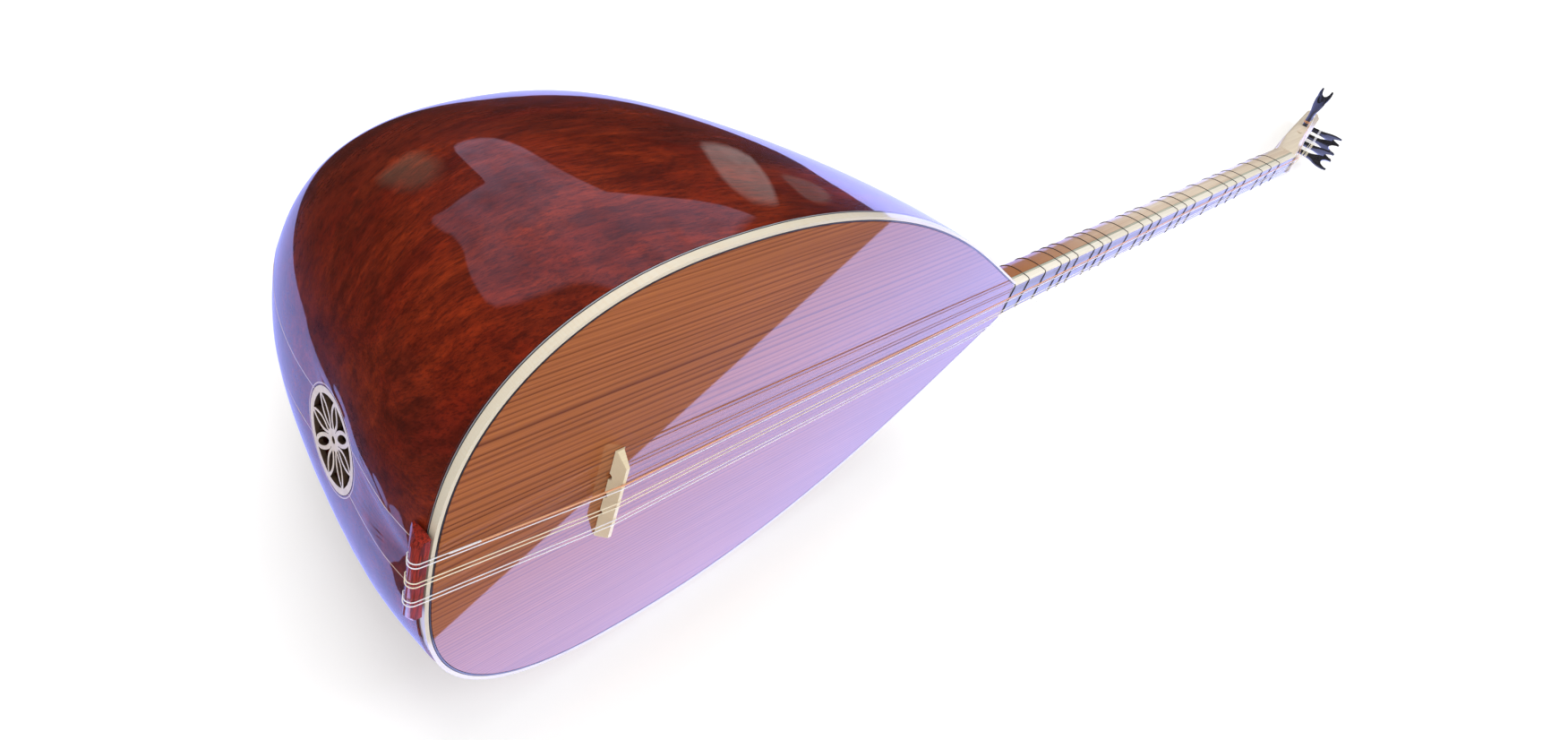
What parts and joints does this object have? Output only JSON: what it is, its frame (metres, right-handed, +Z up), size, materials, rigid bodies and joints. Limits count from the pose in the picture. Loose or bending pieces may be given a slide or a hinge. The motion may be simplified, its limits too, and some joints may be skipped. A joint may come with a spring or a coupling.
{
  "type": "divan saz",
  "caption": "Long-necked lute with a deep pear-shaped bowl, tied frets, fork-ended pegs, paired strings and an openwork rosette in the tail.",
  "frame": {"origin": "middle of the bounding box on the floor that the saz lies on", "axes": "+X towards the head, -Y out of the soundboard, +Z up, with the treble flank on the floor"},
  "size_m": [1.3536, 0.3328, 0.3126],
  "materials": {
    "mahogany": "glossy dark red-brown varnish",
    "mahogany_light": "glossy red-brown varnish",
    "cedar": "glossy varnish over straight dark grain",
    "neck_wood": "satin varnish",
    "head_wood": "satin varnish",
    "maple": "varnished pale wood",
    "dark_line": "black dyed inlay line",
    "grey_line": "grey-green dyed veneer",
    "spruce": "bare wood",
    "cream": "pale smooth wood",
    "ebony": "polished black wood",
    "gut": "dark tied line",
    "steel_wire": "plain steel wire",
    "copper_wire": "copper wound wire",
    "bronze_wire": "pale bronze wire"
  },
  "bodies": {
    "saz_body": {"binding": "maple", "bowl_bass_side": "mahogany", "bowl_centre_stave": "mahogany_light", "bowl_tail_stave": "mahogany_light", "bowl_treble_side": "mahogany", "fingerboard": "maple", "fret_01": "gut", "fret_02": "gut", "fret_03": "gut", "fret_04": "gut", "fret_05": "gut", "fret_06": "gut", "fret_07": "gut", "fret_08": "gut", "fret_09": "gut", "fret_10": "gut", "fret_11": "gut", "fret_12": "gut", "fret_13": "gut", "fret_14": "gut", "fret_15": "gut", "fret_16": "gut", "fret_17": "gut", "fret_18": "gut", "fret_19": "gut", "fret_20": "gut", "fret_21": "gut", "fret_22": "gut", "fret_23": "gut", "head": "head_wood", "lower_brace": "spruce", "neck": "neck_wood", "neck_block": "spruce", "neck_veneer": "grey_line", "nut": "cream", "purfling": "dark_line", "rosette": "cream", "soundboard": "cedar", "string_1": "copper_wire", "string_2": "steel_wire", "string_3": "bronze_wire", "string_4": "bronze_wire", "string_5": "steel_wire", "string_6": "steel_wire", "string_holder": "mahogany_light", "tail_block": "spruce", "upper_brace": "spruce"},
    "bridge_body": {"bridge": "maple"},
    "peg_1_body": {"peg_1": "ebony", "string_1_winding": "copper_wire"},
    "peg_2_body": {"peg_2": "ebony", "string_2_winding": "steel_wire"},
    "peg_3_body": {"peg_3": "ebony", "string_3_winding": "bronze_wire"},
    "peg_4_body": {"peg_4": "ebony", "string_4_winding": "bronze_wire"},
    "peg_5_body": {"peg_5": "ebony", "string_5_winding": "steel_wire"},
    "peg_6_body": {"peg_6": "ebony", "string_6_winding": "steel_wire"}
  },
  "joints": [
    {"name": "bridge_slide", "type": "slide", "parent": "saz_body", "child": "bridge_body", "axis": [-0.9932, 0, 0.1163], "range_m": [-0.0015, 0.0015]},
    {"name": "peg_1_turn", "type": "hinge", "parent": "saz_body", "child": "peg_1_body", "pos_m": [0.59648, -0.09978, 0.03808], "axis": [0.1144, 0.1822, 0.9766], "continuous": true},
    {"name": "peg_2_turn", "type": "hinge", "parent": "saz_body", "child": "peg_2_body", "pos_m": [0.63478, -0.09307, 0.03234], "axis": [0.1144, 0.1822, 0.9766], "continuous": true},
    {"name": "peg_3_turn", "type": "hinge", "parent": "saz_body", "child": "peg_3_body", "pos_m": [0.5779, -0.11686, 0.02737], "axis": [0.2103, -0.9652, 0.1555], "continuous": true},
    {"name": "peg_4_turn", "type": "hinge", "parent": "saz_body", "child": "peg_4_body", "pos_m": [0.53974, -0.12423, 0.03321], "axis": [0.2103, -0.9652, 0.1555], "continuous": true},
    {"name": "peg_5_turn", "type": "hinge", "parent": "saz_body", "child": "peg_5_body", "pos_m": [0.61606, -0.10949, 0.02152], "axis": [0.2103, -0.9652, 0.1555], "continuous": true},
    {"name": "peg_6_turn", "type": "hinge", "parent": "saz_body", "child": "peg_6_body", "pos_m": [0.65421, -0.10211, 0.01568], "axis": [0.2103, -0.9652, 0.1555], "continuous": true}
  ]
}
